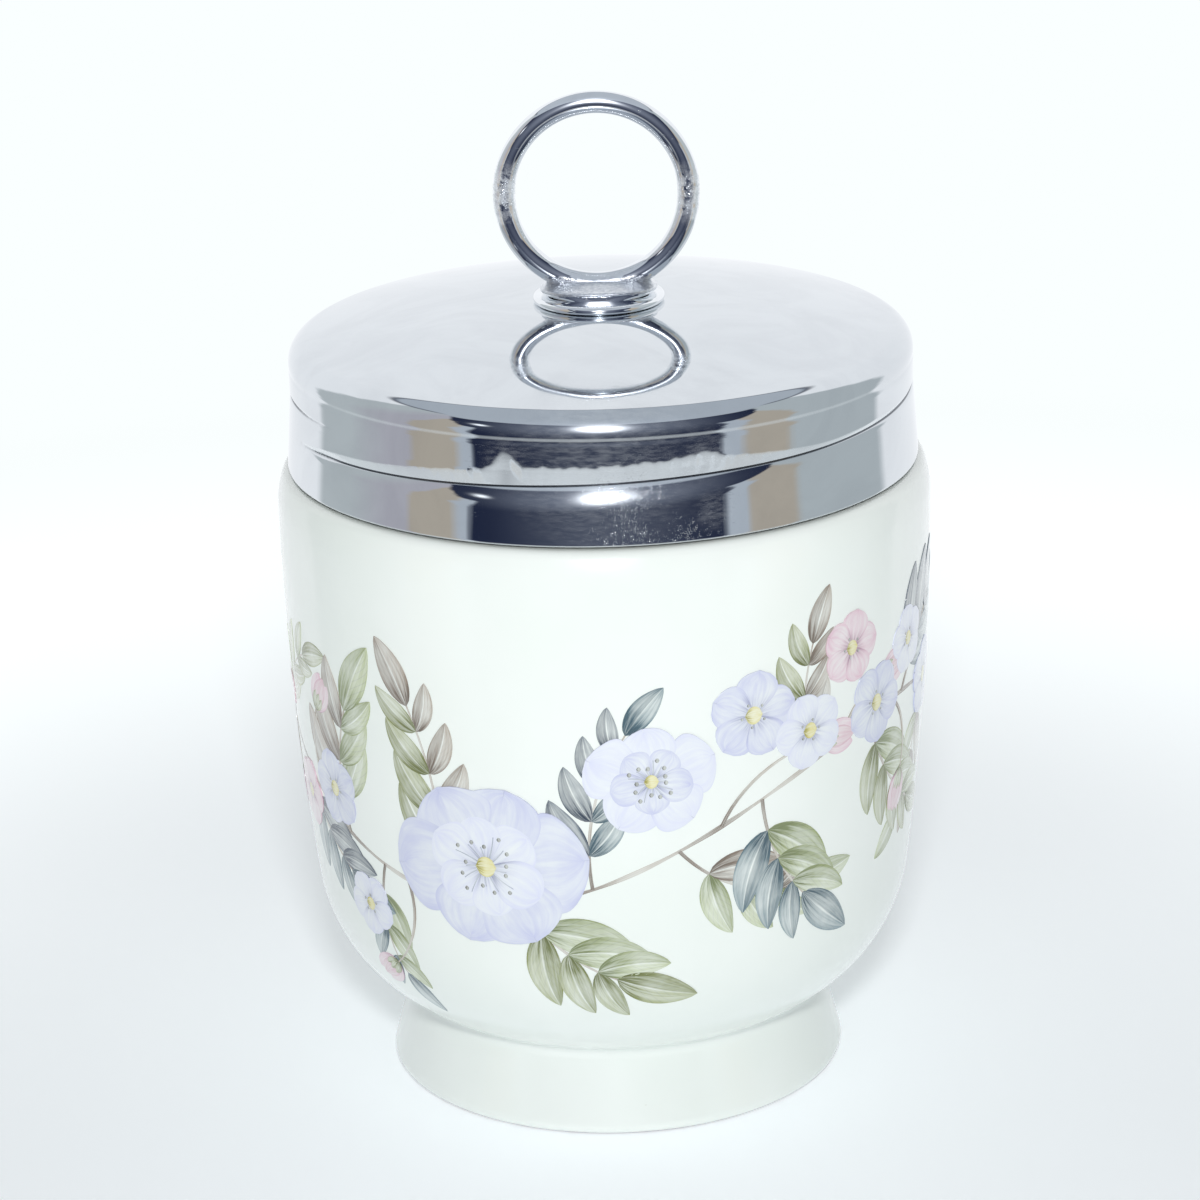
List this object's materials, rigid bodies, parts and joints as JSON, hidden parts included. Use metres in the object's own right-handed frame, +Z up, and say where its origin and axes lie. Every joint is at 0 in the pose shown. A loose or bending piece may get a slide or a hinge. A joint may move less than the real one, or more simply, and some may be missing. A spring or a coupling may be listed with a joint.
{
  "type": "egg coddler",
  "caption": "Footed porcelain cup with a screw-on domed metal lid and a fixed upright ring for lifting it, used to cook and serve an egg in hot water.",
  "frame": {"origin": "centre of the foot ring on the table, on the cup's axis", "axes": "+Z up along the cup's axis; -Y is the front, which the ring's open side faces; +X to the right"},
  "size_m": [0.062, 0.062, 0.0957],
  "materials": {
    "porcelain": "clear glossy glaze over white porcelain, with an all-round floral print",
    "lid_chrome": "polished chrome plate on spun metal, finely pitted low on the skirt",
    "ring_chrome": "polished chrome plate on a casting, slightly worn",
    "washer_chrome": "plain plated metal"
  },
  "bodies": {
    "cup": {"cup": "porcelain"},
    "washer": {"backing_washer": "washer_chrome"},
    "lid": {"lid_shell": "lid_chrome", "collar": "ring_chrome", "ring_handle": "ring_chrome"}
  },
  "joints": [
    {"name": "lid_rise", "type": "slide", "parent": "cup", "child": "washer", "axis": [0, 0, 1], "range_m": [0, 0.0146]},
    {"name": "lid_turn", "type": "hinge", "parent": "washer", "child": "lid", "pos_m": [0, 0, 0.0748], "axis": [0, 0, 1], "range_deg": [0, 900]}
  ],
  "couplings": [
    {"joint": "lid_rise", "follows": "lid_turn", "m_per_rad": 0.0009231}
  ]
}
